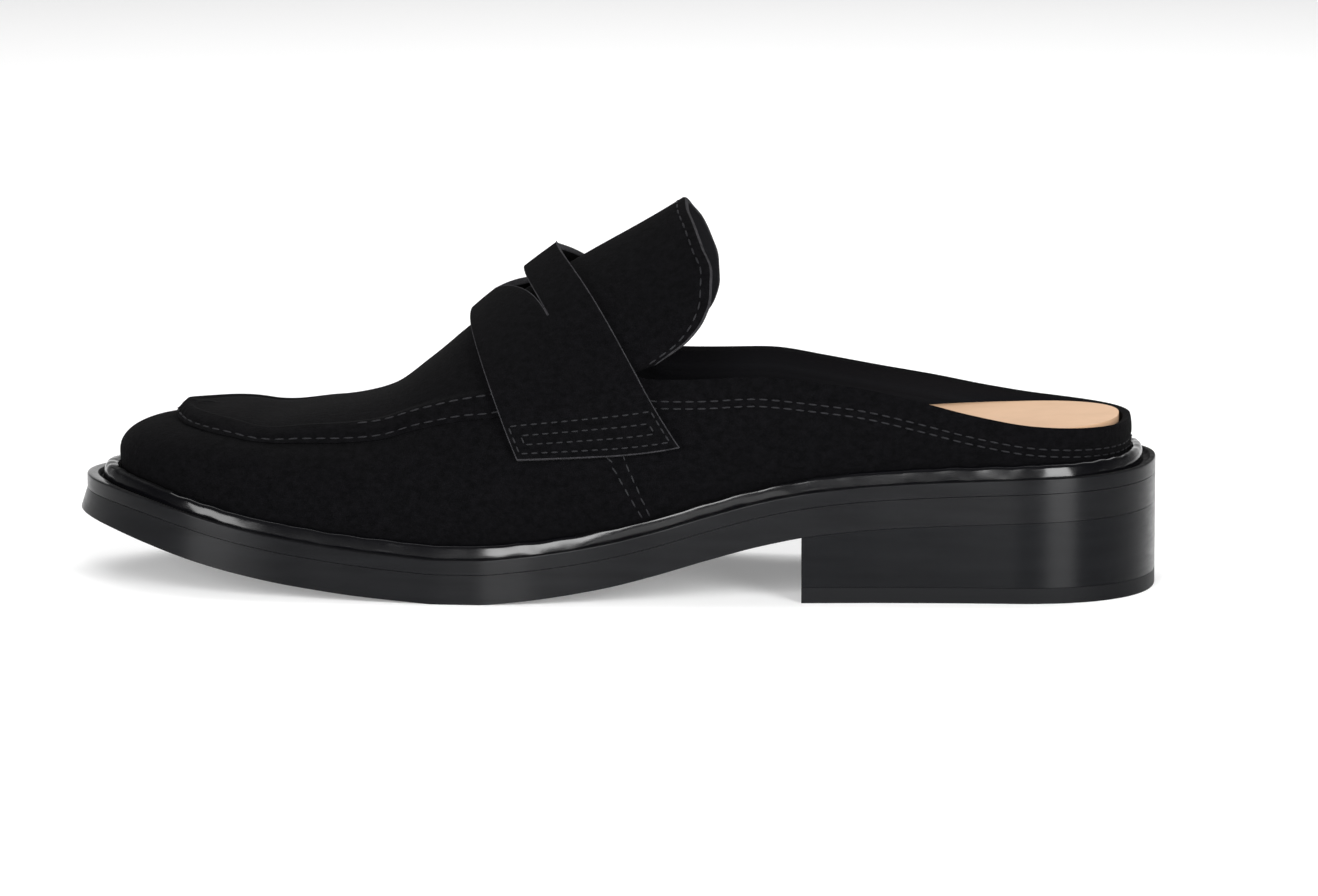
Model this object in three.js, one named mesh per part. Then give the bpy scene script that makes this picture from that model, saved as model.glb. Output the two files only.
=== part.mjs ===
// Penny loafer mule, left shoe, in millimetres. Toe at -X, heel at +X, outer side at -Y, floor at Z = 0.
import * as THREE from 'three';
import { mergeVertices } from 'three/addons/utils/BufferGeometryUtils.js';

// Sole sizes
const length = 272;
const ballWidth = 96;
const toeSpring = 16.2;
const heelHeight = 21.2;
const outsoleThickness = 7.4;
const liftThickness = 3.9;
const heelLength = 85.6;
const toeRound = 60;
const heelRound = 34;
const toeSquareness = 1.9;
const heelSquareness = 2.3;

// Welt sizes, measured inwards from the edge of the sole and up from its top
const weltThickness = 3.5;
const weltSetback = 1.6;
const toeSpread = 1.35;
const rimWidth = 3;
const grooveWidth = 1;
const grooveDepth = 0.9;
const grooveTaper = 0.25;
const beadWidth = 1.9;
const beadRise = 3;

// Upper sizes, heights measured from the top of the welt's rim
const wall = 2;
const toeHeight = 22.6;
const instepHeight = 75.5;
const quarterHeight = 31;
const backHeight = 10.2;
const bellyRise = 6;
const bellyTuck = 0.8;
const toeSlope = 22;
const toeFan = 52;
const heelLean = 20;
const heelFan = 51;
const throatStart = 112;

// Overlay sizes
const apronThickness = 1.8;
const strapThickness = 2;
const strapArchFront = 2.2;
const strapArchRear = 5;
const insoleRise = 3.5;
const heelPadRise = 11;
const gap = 0.3;
const overlayGap = 0.45;

// Sole sections from toe to heel. Widths are shares of the ball width, spring and seat are shares of
// the toe spring and the heel height, and thick is a share of the outsole's thickness.
const soleSections = [
  { at: 0.000, centre: -0.042, lateral: 0.458, medial: 0.448, spring: 1.000, seat: 0.000, thick: 0.69 },
  { at: 0.040, centre: -0.042, lateral: 0.459, medial: 0.449, spring: 0.880, seat: 0.000, thick: 0.86 },
  { at: 0.080, centre: -0.041, lateral: 0.461, medial: 0.450, spring: 0.720, seat: 0.000, thick: 0.98 },
  { at: 0.120, centre: -0.039, lateral: 0.464, medial: 0.452, spring: 0.550, seat: 0.000, thick: 1.03 },
  { at: 0.170, centre: -0.034, lateral: 0.466, medial: 0.461, spring: 0.365, seat: 0.000, thick: 1.03 },
  { at: 0.220, centre: -0.024, lateral: 0.480, medial: 0.469, spring: 0.218, seat: 0.000, thick: 1.03 },
  { at: 0.280, centre: -0.014, lateral: 0.507, medial: 0.475, spring: 0.095, seat: 0.000, thick: 1.02 },
  { at: 0.330, centre: -0.006, lateral: 0.523, medial: 0.473, spring: 0.026, seat: 0.000, thick: 1.00 },
  { at: 0.355, centre: -0.003, lateral: 0.530, medial: 0.467, spring: 0.000, seat: 0.000, thick: 1.00 },
  { at: 0.390, centre: 0.000, lateral: 0.533, medial: 0.456, spring: 0.000, seat: 0.000, thick: 1.00 },
  { at: 0.430, centre: 0.000, lateral: 0.524, medial: 0.436, spring: 0.000, seat: 0.038, thick: 1.00 },
  { at: 0.470, centre: 0.000, lateral: 0.508, medial: 0.415, spring: 0.000, seat: 0.105, thick: 0.99 },
  { at: 0.510, centre: 0.000, lateral: 0.490, medial: 0.396, spring: 0.000, seat: 0.197, thick: 0.98 },
  { at: 0.550, centre: 0.000, lateral: 0.470, medial: 0.379, spring: 0.000, seat: 0.323, thick: 0.97 },
  { at: 0.600, centre: 0.000, lateral: 0.449, medial: 0.365, spring: 0.000, seat: 0.510, thick: 0.97 },
  { at: 0.650, centre: 0.000, lateral: 0.429, medial: 0.355, spring: 0.000, seat: 0.680, thick: 0.97 },
  { at: 0.700, centre: 0.000, lateral: 0.411, medial: 0.348, spring: 0.000, seat: 0.800, thick: 0.96 },
  { at: 0.760, centre: 0.000, lateral: 0.391, medial: 0.344, spring: 0.000, seat: 0.875, thick: 0.96 },
  { at: 0.850, centre: 0.000, lateral: 0.373, medial: 0.343, spring: 0.000, seat: 0.932, thick: 0.96 },
  { at: 1.000, centre: 0.000, lateral: 0.360, medial: 0.343, spring: 0.000, seat: 1.000, thick: 0.96 },
];

// Raised bead of the welt, as shares of its width and of its rise
const beadProfile = [
  { across: 0.000, up: 0.00 },
  { across: 0.125, up: 0.75 },
  { across: 0.500, up: 1.00 },
  { across: 1.000, up: 0.85 },
];

// Ridge of the last: shares of the toe and instep heights, its sideways place as a share of the ball
// width, and how full the section is (2 is an ellipse, more is boxier).
const ridgeSections = [
  { at: 0.03, toe: 0.80, instep: 0.000, side: -0.042, full: 2.15 },
  { at: 0.08, toe: 0.82, instep: 0.000, side: -0.041, full: 2.65 },
  { at: 0.11, toe: 0.86, instep: 0.000, side: -0.038, full: 2.85 },
  { at: 0.17, toe: 1.00, instep: 0.000, side: -0.030, full: 3.05 },
  { at: 0.22, toe: 1.00, instep: 0.041, side: -0.021, full: 2.80 },
  { at: 0.26, toe: 0.95, instep: 0.097, side: -0.012, full: 2.52 },
  { at: 0.295, toe: 0.85, instep: 0.182, side: -0.004, full: 2.25 },
  { at: 0.33, toe: 0.74, instep: 0.318, side: 0.005, full: 2.10 },
  { at: 0.37, toe: 0.55, instep: 0.500, side: 0.010, full: 1.95 },
  { at: 0.42, toe: 0.30, instep: 0.688, side: 0.012, full: 1.84 },
  { at: 0.48, toe: 0.12, instep: 0.846, side: 0.010, full: 1.73 },
  { at: 0.57, toe: 0.00, instep: 1.000, side: 0.005, full: 1.63 },
  { at: 0.61, toe: 0.00, instep: 1.045, side: 0.000, full: 1.66 },
  { at: 0.72, toe: 0.00, instep: 0.960, side: 0.000, full: 1.75 },
  { at: 1.00, toe: 0.00, instep: 0.880, side: 0.000, full: 1.90 },
];

// Topline behind the throat, as shares of the way from the back's height to the quarter's height
const toplineSections = [
  { at: 0.54, lateral: 1.300, medial: 1.310 },
  { at: 0.59, lateral: 1.120, medial: 1.120 },
  { at: 0.64, lateral: 0.975, medial: 0.950 },
  { at: 0.69, lateral: 0.790, medial: 0.720 },
  { at: 0.74, lateral: 0.630, medial: 0.530 },
  { at: 0.79, lateral: 0.440, medial: 0.380 },
  { at: 0.84, lateral: 0.250, medial: 0.230 },
  { at: 0.89, lateral: 0.110, medial: 0.110 },
  { at: 0.94, lateral: 0.040, medial: 0.040 },
  { at: 0.97, lateral: 0.015, medial: 0.015 },
  { at: 1.00, lateral: 0.000, medial: 0.000 },
];

// Throat edge under the strap: share of the way from the throat's start to the topline's start, and
// share of the way down from the ridge to the topline
const throatSections = [
  { along: 0.00, down: 0.00 },
  { along: 0.18, down: 0.36 },
  { along: 0.47, down: 0.71 },
  { along: 0.74, down: 0.91 },
  { along: 1.00, down: 1.00 },
];

// Lower edge of the apron, as a share of the way up the upper from welt to ridge
const apronEdge = [
  { at: 0.03, up: 0.850 },
  { at: 0.06, up: 0.785 },
  { at: 0.10, up: 0.680 },
  { at: 0.14, up: 0.610 },
  { at: 0.19, up: 0.586 },
  { at: 0.24, up: 0.570 },
  { at: 0.28, up: 0.556 },
  { at: 0.33, up: 0.518 },
  { at: 0.37, up: 0.480 },
  { at: 0.41, up: 0.454 },
  { at: 0.48, up: 0.452 },
  { at: 0.60, up: 0.460 },
];

// Free end of the tongue on each side, as shares of the length, from its lower corner up to the ridge
const tongueEnd = [
  { up: 0.460, lateral: 0.5460, medial: 0.5460 },
  { up: 0.480, lateral: 0.5770, medial: 0.5720 },
  { up: 0.505, lateral: 0.5900, medial: 0.5815 },
  { up: 0.545, lateral: 0.5960, medial: 0.5870 },
  { up: 0.600, lateral: 0.5955, medial: 0.5870 },
  { up: 0.680, lateral: 0.5870, medial: 0.5820 },
  { up: 0.780, lateral: 0.5770, medial: 0.5750 },
  { up: 0.880, lateral: 0.5690, medial: 0.5680 },
  { up: 1.000, lateral: 0.5655, medial: 0.5655 },
];

// Edges of the strap on the ridge and at its lower ends, as shares of the length and of the way up
const strapTop = { front: 0.364, rear: 0.444 };
const strapEnd = { front: 0.426, rear: 0.574, frontUp: 0.316, rearUp: 0.256 };
const strapSweep = { front: 1.65, rear: 1.35 };

// Where the strap climbs onto the apron's edge and where it starts to arch, as shares of the way up
const strapLift = { from: 0.36, to: 0.45, arch: 0.5 };
const strapPeak = 2.5;

// Slot in the strap, as shares of the strap's width and of the way up
const slot = { front: 0.29, rear: 0.61, tip: 0.63, tipUp: 0.69 };
const slotCurve = 2.3;

// Foot surface of the insole, as a share of the way from the forefoot's rise to the heel pad's rise
const footSections = [
  { at: 0.00, share: 0.00 },
  { at: 0.30, share: 0.02 },
  { at: 0.42, share: 0.09 },
  { at: 0.52, share: 0.26 },
  { at: 0.60, share: 0.50 },
  { at: 0.70, share: 0.80 },
  { at: 0.78, share: 0.96 },
  { at: 0.85, share: 1.00 },
  { at: 1.00, share: 1.00 },
];

// Grid steps
const toeSteps = 9;
const middleSteps = 15;
const heelSteps = 7;
const wallSteps = 13;
const apronSteps = 8;
const tongueSteps = 8;
const strapLobeSteps = 3;
const strapRows = 10;
const halvings = 24;
const columnMargin = 1;
const shareMargin = 0.01;
const weld = 0.001;

const lateral = -1;
const medial = 1;
const sideName = (side) => (side === lateral ? 'lateral' : 'medial');
const toeShare = 0.3;
const heelShare = 0.78;
const bellyShare = 0.12;

// Smooth value of one column of a table, without overshoot between its rows
function read(table, key, column, at) {
  const last = table.length - 1;
  const x = Math.min(Math.max(at, table[0][key]), table[last][key]);
  const slope = (i) => (table[i + 1][column] - table[i][column]) / (table[i + 1][key] - table[i][key]);
  const tangent = (i) => {
    if (i === 0) return slope(0);
    if (i === last) return slope(last - 1);
    const before = slope(i - 1);
    const after = slope(i);
    if (before * after <= 0) return 0;
    const left = table[i][key] - table[i - 1][key];
    const right = table[i + 1][key] - table[i][key];
    const weightBefore = 2 * right + left;
    const weightAfter = right + 2 * left;
    return (weightBefore + weightAfter) / (weightBefore / before + weightAfter / after);
  };
  let i = 0;
  while (i < last - 1 && x > table[i + 1][key]) i += 1;
  const h = table[i + 1][key] - table[i][key];
  const t = (x - table[i][key]) / h;
  return (1 + 2 * t) * (1 - t) ** 2 * table[i][column] + t * (1 - t) ** 2 * h * tangent(i)
    + t * t * (3 - 2 * t) * table[i + 1][column] + t * t * (t - 1) * h * tangent(i + 1);
}

const soleAt = (column, s) => read(soleSections, 'at', column, s / length);
const ridgeAt = (column, s) => read(ridgeSections, 'at', column, s / length);
const mix = (a, b, t) => a + (b - a) * t;
const ease = (t) => {
  const c = Math.min(Math.max(t, 0), 1);
  return c * c * (3 - 2 * c);
};

// Heights of the sole's layers at distance s from the toe tip
const underside = (s) => toeSpring * soleAt('spring', s) + heelHeight * soleAt('seat', s);
const outsoleTop = (s) => underside(s) + outsoleThickness * soleAt('thick', s);
const rimTop = (s) => outsoleTop(s) + gap + weltThickness;
const footShare = (s) => read(footSections, 'at', 'share', s / length);
const footTop = (s) => rimTop(s) + mix(insoleRise, heelPadRise, footShare(s));

// Insets of an outline drawn inwards from the rim's edge, at the sides, toe and heel
const inward = (inset) => ({ side: inset, toe: weltSetback + inset * toeSpread, heel: inset });
const soleEdge = { side: 0, toe: 0, heel: 0 };

// Point of an outline at share q of the way from the toe (0) to the back (1) on one side
function outline(q, side, inset) {
  let s;
  let round = 1;
  if (q < toeShare) {
    const angle = (q / toeShare) * Math.PI / 2;
    s = toeRound - (toeRound - inset.toe) * Math.cos(angle) ** (2 / toeSquareness);
    round = Math.sin(angle) ** (2 / toeSquareness);
  } else if (q > heelShare) {
    const angle = Math.max((1 - q) / (1 - heelShare), 0) * Math.PI / 2;
    s = length - heelRound + (heelRound - inset.heel) * Math.cos(angle) ** (2 / heelSquareness);
    round = Math.sin(angle) ** (2 / heelSquareness);
  } else {
    s = mix(toeRound, length - heelRound, (q - toeShare) / (heelShare - toeShare));
  }
  const half = ballWidth * soleAt(sideName(side), s) - inset.side;
  return { s, y: ballWidth * soleAt('centre', s) + side * half * round };
}

// Share q of the outline at distance s, for the stretch between the rounded ends
const shareAt = (s) => mix(toeShare, heelShare, (s - toeRound) / (length - heelRound - toeRound));
const throat = shareAt(throatStart);
const breast = shareAt(length - heelLength);

const upperInset = rimWidth + grooveWidth + beadWidth + gap;

// Point of the upper's surface at share q along and share v up from the rim to the ridge, moved out by
// a distance
function upperPoint(q, v, side, out) {
  const base = inward(upperInset);
  const foot = outline(q, side, { side: base.side - out, toe: base.toe - out, heel: base.heel - out });
  const toePull = Math.max(1 - (foot.s - base.toe) / toeFan, 0) ** 2;
  const heelPull = Math.min(Math.max((foot.s - (length - base.heel - heelFan)) / heelFan, 0), 1) ** 2;
  const ridgeS = foot.s + toeSlope * toePull - heelLean * heelPull;
  const ridgeY = ballWidth * ridgeAt('side', ridgeS);
  const low = rimTop(foot.s);
  const belly = low + bellyRise;
  const rise = toeHeight * ridgeAt('toe', ridgeS) + instepHeight * ridgeAt('instep', ridgeS);
  const crest = rimTop(ridgeS) + rise + out;
  const full = ridgeAt('full', foot.s);
  let reach;
  let z;
  if (v < bellyShare) {
    const t = v / bellyShare;
    const run = Math.hypot(foot.s - ridgeS, foot.y - ridgeY);
    reach = 1 - (bellyTuck * (1 - t) ** 2) / run;
    z = mix(low, belly, t);
  } else {
    const angle = Math.min((v - bellyShare) / (1 - bellyShare), 1) * Math.PI / 2;
    reach = Math.max(Math.cos(angle), 0) ** (2 / full);
    z = belly + (crest - belly) * Math.sin(angle) ** (2 / full);
  }
  if (v >= 1) reach = 0;
  return { s: mix(ridgeS, foot.s, reach), y: mix(ridgeY, foot.y, reach), z };
}

// Share up the upper at which its surface has the height z, at share q along
function shareUp(q, side, z) {
  let low = 0;
  let high = 1;
  for (let step = 0; step < halvings; step += 1) {
    const middle = (low + high) / 2;
    if (upperPoint(q, middle, side, 0).z < z) low = middle;
    else high = middle;
  }
  return (low + high) / 2;
}

// Share up the upper of its top edge: the ridge over the vamp, then the throat, then the topline
function topEdge(q, side) {
  if (q <= throat) return 1;
  const { s } = outline(q, side, inward(upperInset));
  const start = toplineSections[0].at * length;
  const share = read(toplineSections, 'at', sideName(side), Math.max(s, start) / length);
  const line = shareUp(q, side, rimTop(s) + mix(backHeight, quarterHeight, share));
  if (s >= start) return line;
  return mix(1, line, read(throatSections, 'along', 'down', (s - throatStart) / (start - throatStart)));
}

// Shift that centres the sole sideways on the origin
const widest = (side) => Math.max(...soleSections.map(
  (row) => ballWidth * (side * row.centre + row[sideName(side)]),
));
const sideShift = (widest(lateral) - widest(medial)) / 2;
const place = (p) => [p.s - length / 2, p.y + sideShift, p.z];

// Collects faces and turns them into one closed geometry with its faces pointing out
class Shell {
  constructor() {
    this.corners = [];
  }

  face(a, b, c) {
    this.corners.push(place(a), place(b), place(c));
  }

  quad(a, b, c, d) {
    this.face(a, b, c);
    this.face(a, c, d);
  }

  // Skin over rows of points; turned swaps the side that it faces
  skin(rows, turned) {
    for (let i = 0; i + 1 < rows.length; i += 1) {
      for (let j = 0; j + 1 < rows[i].length; j += 1) {
        const ring = [rows[i][j], rows[i + 1][j], rows[i + 1][j + 1], rows[i][j + 1]];
        if (turned) ring.reverse();
        this.quad(...ring);
      }
    }
  }

  geometry() {
    const loose = new THREE.BufferGeometry();
    loose.setAttribute('position', new THREE.Float32BufferAttribute(this.corners.flat(), 3));
    const joined = mergeVertices(loose, weld);
    const index = joined.getIndex().array;
    const position = joined.getAttribute('position');
    const kept = [];
    let volume = 0;
    const corner = (i) => new THREE.Vector3().fromBufferAttribute(position, i);
    for (let i = 0; i < index.length; i += 3) {
      const [a, b, c] = [index[i], index[i + 1], index[i + 2]];
      if (a === b || b === c || c === a) continue;
      kept.push([a, b, c]);
      volume += corner(a).dot(corner(b).cross(corner(c)));
    }
    if (volume < 0) kept.forEach((face) => face.reverse());
    joined.setIndex(kept.flat());
    joined.computeVertexNormals();
    return joined;
  }
}

const steps = (count, from, to) => Array.from({ length: count + 1 }, (_, i) => mix(from, to, i / count));

// Shares along an outline, from a given one back to the heel, with the sole's own sections between the
// rounded ends
function soleColumns(from) {
  const straight = (s) => s > toeRound + columnMargin && s < length - heelRound - columnMargin;
  const all = [
    ...steps(toeSteps, 0, toeShare),
    ...soleSections.map((row) => row.at * length).filter(straight).map(shareAt),
    ...steps(heelSteps, heelShare, 1),
  ];
  return [from, ...all.filter((q) => q > from + shareMargin)];
}

// A plate between two outlines, flat across and closed at a straight front where it has one
function plate(columns, lowInset, highInset, lowZ, highZ) {
  const shell = new Shell();
  const at = (q, side, inset, height) => {
    const p = outline(q, side, inset);
    return { ...p, z: height(p.s) };
  };
  const rows = columns.map((q) => [
    at(q, lateral, lowInset, lowZ), at(q, lateral, highInset, highZ),
    at(q, medial, highInset, highZ), at(q, medial, lowInset, lowZ), at(q, lateral, lowInset, lowZ),
  ]);
  shell.skin(rows, false);
  const front = rows[0];
  shell.quad(front[0], front[1], front[2], front[3]);
  return shell.geometry();
}

function outsole() {
  return plate(soleColumns(0), soleEdge, inward(0), underside, outsoleTop);
}

function heelBlock() {
  return plate(soleColumns(breast), soleEdge, soleEdge, () => liftThickness, (s) => underside(s) - gap);
}

function topLift() {
  return plate(soleColumns(breast), soleEdge, soleEdge, () => 0, () => liftThickness);
}

function insole() {
  const inset = inward(upperInset + wall + bellyTuck + gap);
  return plate(soleColumns(0), inset, inset, (s) => outsoleTop(s) + gap, footTop);
}

// Welt strip: flat rim, narrow groove and a raised bead against the upper
function welt() {
  const bead = rimWidth + grooveWidth;
  const taper = grooveWidth * grooveTaper;
  const onBead = (row) => ({
    inset: bead + beadWidth * row.across,
    up: weltThickness + beadRise * row.up,
  });
  const profile = [
    { inset: 0, up: 0 },
    { inset: 0, up: weltThickness },
    { inset: rimWidth, up: weltThickness },
    { inset: rimWidth + taper, up: weltThickness - grooveDepth },
    { inset: bead - taper, up: weltThickness - grooveDepth },
    ...beadProfile.map(onBead),
    { inset: bead + beadWidth, up: 0 },
    { inset: 0, up: 0 },
  ];
  const shell = new Shell();
  for (const side of [lateral, medial]) {
    const rows = soleColumns(0).map((q) => profile.map(({ inset, up }) => {
      const p = outline(q, side, inward(inset));
      return { ...p, z: outsoleTop(p.s) + gap + up };
    }));
    shell.skin(rows, side === medial);
  }
  return shell.geometry();
}

// Shares along the upper that its pieces have in common
const columns = [
  ...steps(toeSteps, 0, toeShare),
  ...steps(middleSteps, toeShare, heelShare).slice(1, -1),
  ...steps(heelSteps, heelShare, 1),
  throat,
].sort((a, b) => a - b);

// Upper: one hollow wall from the lasting margin inside the welt up to the top edge
function upper() {
  const shell = new Shell();
  for (const side of [lateral, medial]) {
    const layer = (out) => columns.map((q) => {
      const top = topEdge(q, side);
      const wallRow = steps(wallSteps, 0, 1).map((t) => upperPoint(q, top * t, side, out));
      const margin = { ...wallRow[0], z: outsoleTop(wallRow[0].s) + gap };
      return [margin, ...wallRow];
    });
    const outer = layer(0);
    const inner = layer(-wall);
    shell.skin(outer, side === medial);
    shell.skin(inner, side === lateral);
    shell.skin(outer.map((row, i) => [inner[i][0], row[0]]), side === medial);
    const open = outer.map((row, i) => [row[row.length - 1], inner[i][row.length - 1]])
      .filter((_, i) => columns[i] >= throat);
    shell.skin(open, side === medial);
  }
  return shell.geometry();
}

// Apron raised over the vamp and running on as the free tongue
function apron() {
  const shell = new Shell();
  const backed = columns.filter((q) => q <= throat);
  const start = throatStart / length;
  for (const side of [lateral, medial]) {
    const edgeAt = (s) => read(apronEdge, 'at', 'up', s / length);
    const layer = (out) => {
      const rows = backed.map((q) => {
        const low = edgeAt(outline(q, side, inward(upperInset)).s);
        return steps(apronSteps, low, 1).map((v) => upperPoint(q, v, side, out));
      });
      const free = steps(tongueSteps, 0, 1).slice(1).map((t) => {
        const low = mix(edgeAt(start * length), tongueEnd[0].up, t);
        return steps(apronSteps, low, 1).map((v) => {
          const end = read(tongueEnd, 'up', sideName(side), v);
          return upperPoint(shareAt(mix(start, end, t) * length), v, side, out);
        });
      });
      return [...rows, ...free];
    };
    const outer = layer(overlayGap + apronThickness);
    const inner = layer(overlayGap);
    shell.skin(outer, side === medial);
    shell.skin(inner, side === lateral);
    shell.skin(outer.map((row, i) => [inner[i][0], row[0]]), side === medial);
    const end = outer.length - 1;
    shell.skin([outer[end], inner[end]], side === medial);
  }
  return shell.geometry();
}

// Height of the strap's underside over the upper: on the vamp at its ends, over the apron's edge, then
// arching free across the ridge
function strapClearance(v, w) {
  const climb = ease((v - strapLift.from) / (strapLift.to - strapLift.from));
  const arch = Math.max((v - strapLift.arch) / (1 - strapLift.arch), 0) ** strapPeak;
  return overlayGap + (overlayGap + apronThickness) * climb + mix(strapArchFront, strapArchRear, w) * arch;
}

// Strap across the instep, with the slot between its front and rear lobes
function strap() {
  const shell = new Shell();
  const opened = (v) => Math.max((v - slot.tipUp) / (1 - slot.tipUp), 0);
  const frontLobe = (v) => mix(slot.tip, slot.front, opened(v) ** slotCurve);
  const rearLobe = (v) => mix(slot.tip, slot.rear, opened(v));
  const point = (side, t, w, out) => {
    const up = mix(mix(strapEnd.frontUp, strapEnd.rearUp, w), 1, t);
    const high = mix(strapTop.front, strapTop.rear, w);
    const low = mix(strapEnd.front, strapEnd.rear, w);
    const s = length * mix(high, low, (1 - t) ** mix(strapSweep.front, strapSweep.rear, w));
    return upperPoint(shareAt(s), up, side, strapClearance(up, w) + out);
  };
  const tipRow = (slot.tipUp - strapEnd.frontUp) / (1 - strapEnd.frontUp);
  const rowsUp = [...steps(strapRows, 0, tipRow), ...steps(strapRows / 2, tipRow, 1).slice(1)];
  for (const side of [lateral, medial]) {
    const lobe = (from, to, out) => rowsUp.map((t) => {
      const v = mix(strapEnd.frontUp, 1, t);
      return steps(strapLobeSteps, from(v), to(v)).map((w) => point(side, t, w, out));
    });
    const front = [lobe(() => 0, frontLobe, strapThickness), lobe(() => 0, frontLobe, 0)];
    const rear = [lobe(rearLobe, () => 1, strapThickness), lobe(rearLobe, () => 1, 0)];
    const turned = side === lateral;
    for (const [outer, inner] of [front, rear]) {
      shell.skin(outer, turned);
      shell.skin(inner, !turned);
      shell.skin([outer[0], inner[0]], !turned);
    }
    const edge = (pair, pick) => pair[0].map((row, i) => [pick(row), pick(pair[1][i])]);
    const first = (row) => row[0];
    const last = (row) => row[row.length - 1];
    const inSlot = (_, i) => i >= strapRows;
    shell.skin(edge(front, first), !turned);
    shell.skin(edge(rear, last), turned);
    shell.skin(edge(front, last).filter(inSlot), turned);
    shell.skin(edge(rear, first).filter(inSlot), !turned);
  }
  return shell.geometry();
}

const blackSuede = { color: 0x121214, roughness: 0.95, metalness: 0 };
const blackSole = { color: 0x232427, roughness: 0.5, metalness: 0 };
const blackWelt = { color: 0x19191b, roughness: 0.35, metalness: 0 };
const peachLining = { color: 0xe9bd92, roughness: 0.8, metalness: 0 };

const shoe = new THREE.Group();
function add(name, geometry, look) {
  const mesh = new THREE.Mesh(geometry, new THREE.MeshStandardMaterial(look));
  mesh.name = name;
  shoe.add(mesh);
}

add('outsole', outsole(), blackSole);
add('welt', welt(), blackWelt);
add('heel_block', heelBlock(), blackSole);
add('top_lift', topLift(), blackSole);
add('insole', insole(), peachLining);
add('upper', upper(), blackSuede);
add('apron_tongue', apron(), blackSuede);
add('saddle_strap', strap(), blackSuede);

export default shoe;
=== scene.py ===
import math

import bpy
import numpy as np
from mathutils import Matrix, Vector


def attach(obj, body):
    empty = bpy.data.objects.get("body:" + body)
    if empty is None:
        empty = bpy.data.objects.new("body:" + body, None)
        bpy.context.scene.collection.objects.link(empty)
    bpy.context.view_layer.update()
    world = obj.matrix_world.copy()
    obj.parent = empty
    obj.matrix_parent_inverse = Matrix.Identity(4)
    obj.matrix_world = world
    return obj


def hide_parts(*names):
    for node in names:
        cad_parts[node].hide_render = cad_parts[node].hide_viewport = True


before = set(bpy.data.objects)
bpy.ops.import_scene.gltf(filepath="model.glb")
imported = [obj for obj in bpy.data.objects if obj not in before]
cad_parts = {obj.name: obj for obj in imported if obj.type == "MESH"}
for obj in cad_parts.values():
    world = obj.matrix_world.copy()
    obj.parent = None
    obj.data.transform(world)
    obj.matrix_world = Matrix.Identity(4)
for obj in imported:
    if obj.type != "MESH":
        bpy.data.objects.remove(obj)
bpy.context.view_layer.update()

print("frame loaded:", len(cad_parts), "nodes")


# the last: sizes in millimetres, s runs back from the toe tip, y to the inner side, z up
last = {
    "length": 272, "ballWidth": 96, "toeSpring": 16.2, "heelHeight": 21.2,
    "outsole": 7.4, "lift": 3.9, "heelLength": 85.6, "gap": 0.3,
    "toeRound": 60, "heelRound": 34, "toeSquareness": 1.9, "heelSquareness": 2.3,
    "toeShare": 0.3, "heelShare": 0.78,
    "toeHeight": 22.6, "instepHeight": 75.5, "quarterHeight": 31, "backHeight": 10.2,
    "bellyRise": 6, "bellyTuck": 0.8, "bellyShare": 0.12,
    "toeSlope": 22, "toeFan": 52, "heelLean": 20, "heelFan": 51, "throatStart": 112,
    "weltThickness": 3.5, "weltSetback": 1.6, "toeSpread": 1.35,
    "rim": 3, "groove": 1, "bead": 1.9, "wall": 2,
    "insoleRise": 3.5, "heelPadRise": 11,
}

# shares of the ball width, toe spring, heel height and outsole thickness at shares of the length
soleSections = {
    "at": [0, 0.04, 0.08, 0.12, 0.17, 0.22, 0.28, 0.33, 0.355, 0.39,
           0.43, 0.47, 0.51, 0.55, 0.6, 0.65, 0.7, 0.76, 0.85, 1],
    "centre": [-0.042, -0.042, -0.041, -0.039, -0.034, -0.024,
               -0.014, -0.006, -0.003, 0, 0, 0, 0, 0, 0, 0, 0, 0, 0, 0],
    "lateral": [0.458, 0.459, 0.461, 0.464, 0.466, 0.48, 0.507, 0.523, 0.53, 0.533,
                0.524, 0.508, 0.49, 0.47, 0.449, 0.429, 0.411, 0.391, 0.373, 0.36],
    "medial": [0.448, 0.449, 0.45, 0.452, 0.461, 0.469, 0.475, 0.473, 0.467, 0.456,
               0.436, 0.415, 0.396, 0.379, 0.365, 0.355, 0.348, 0.344, 0.343, 0.343],
    "spring": [1, 0.88, 0.72, 0.55, 0.365, 0.218, 0.095, 0.026, 0, 0, 0, 0, 0, 0, 0, 0, 0, 0, 0, 0],
    "seat": [0, 0, 0, 0, 0, 0, 0, 0, 0, 0, 0.038, 0.105, 0.197, 0.323, 0.51, 0.68, 0.8, 0.875, 0.932, 1],
    "thick": [0.69, 0.86, 0.98, 1.03, 1.03, 1.03, 1.02, 1, 1, 1, 1,
              0.99, 0.98, 0.97, 0.97, 0.97, 0.96, 0.96, 0.96, 0.96],
}

# height and sideways place of the ridge, and how full the section is under it
ridgeSections = {
    "at": [0.03, 0.08, 0.11, 0.17, 0.22, 0.26, 0.295, 0.33, 0.37, 0.42, 0.48, 0.57, 0.61, 0.72, 1],
    "toe": [0.8, 0.82, 0.86, 1, 1, 0.95, 0.85, 0.74, 0.55, 0.3, 0.12, 0, 0, 0, 0],
    "instep": [0, 0, 0, 0, 0.041, 0.097, 0.182, 0.318, 0.5, 0.688, 0.846, 1, 1.045, 0.96, 0.88],
    "side": [-0.042, -0.041, -0.038, -0.03, -0.021, -0.012, -0.004, 0.005, 0.01, 0.012, 0.01, 0.005, 0, 0, 0],
    "full": [2.15, 2.65, 2.85, 3.05, 2.8, 2.52, 2.25, 2.1, 1.95, 1.84, 1.73, 1.63, 1.66, 1.75, 1.9],
}

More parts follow.
